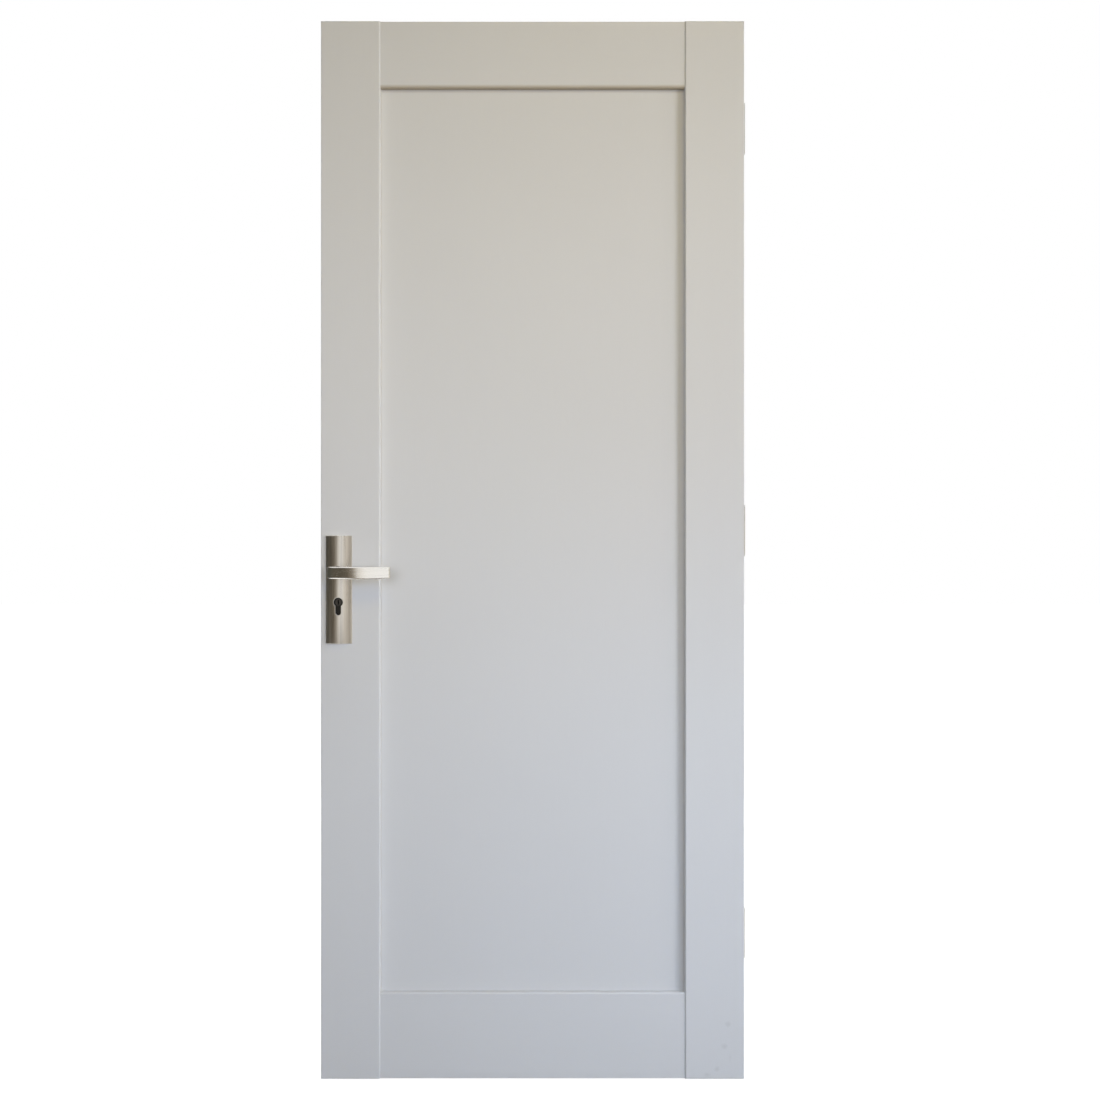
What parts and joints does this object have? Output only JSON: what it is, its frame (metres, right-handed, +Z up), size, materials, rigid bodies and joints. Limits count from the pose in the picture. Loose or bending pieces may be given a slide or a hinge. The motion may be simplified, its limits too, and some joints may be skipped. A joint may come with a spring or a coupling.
{
  "type": "interior door",
  "caption": "White painted flat-panel interior door leaf with chamfered framing, lever handles on half-round backplates, a mortice lock and butt hinges to hang it on a jamb.",
  "frame": {"origin": "middle of the bottom hinge's jamb leaf, on the flat back face that lies against the door frame", "axes": "+Z up; -Y is the front face of the door; +X points from the door into the hinge-side jamb"},
  "size_m": [0.8193, 0.154, 2.032],
  "materials": {
    "painted_timber": "white satin paint over timber",
    "painted_board": "white satin paint over fibreboard",
    "handle_steel": "fine brushed stainless steel",
    "hinge_steel": "satin steel",
    "lock_steel": "zinc plated steel",
    "cylinder_metal": "dark nickel plate",
    "bush_plastic": "black nylon"
  },
  "bodies": {
    "jamb_leaves": {"bottom_jamb_leaf": "hinge_steel", "middle_jamb_leaf": "hinge_steel", "top_jamb_leaf": "hinge_steel", "bottom_hinge_pin": "hinge_steel", "middle_hinge_pin": "hinge_steel", "top_hinge_pin": "hinge_steel"},
    "door": {"lock_stile": "painted_timber", "hinge_stile": "painted_timber", "top_rail": "painted_timber", "bottom_rail": "painted_timber", "panel": "painted_board", "lock_body": "lock_steel", "lock_forend": "lock_steel", "latch_bolt": "lock_steel", "dead_bolt": "lock_steel", "lock_cylinder": "cylinder_metal", "front_key_plug": "cylinder_metal", "back_key_plug": "cylinder_metal", "front_backplate": "handle_steel", "back_backplate": "handle_steel", "front_neck_bush": "bush_plastic", "back_neck_bush": "bush_plastic", "bottom_door_leaf": "hinge_steel", "middle_door_leaf": "hinge_steel", "top_door_leaf": "hinge_steel"},
    "handles": {"front_lever": "handle_steel", "back_lever": "handle_steel", "spindle": "lock_steel"}
  },
  "joints": [
    {"name": "door_swing", "type": "hinge", "parent": "jamb_leaves", "child": "door", "pos_m": [-0.0033, 0.01955, 0], "axis": [0, 0, -1], "range_deg": [0, 170]},
    {"name": "lever_turn", "type": "hinge", "parent": "door", "child": "handles", "pos_m": [-0.7821, -0.00695, 0.698], "axis": [0, 1, 0], "range_deg": [0, 45], "stiffness_Nm_per_rad": 1.5, "springref_deg": -22.92}
  ]
}
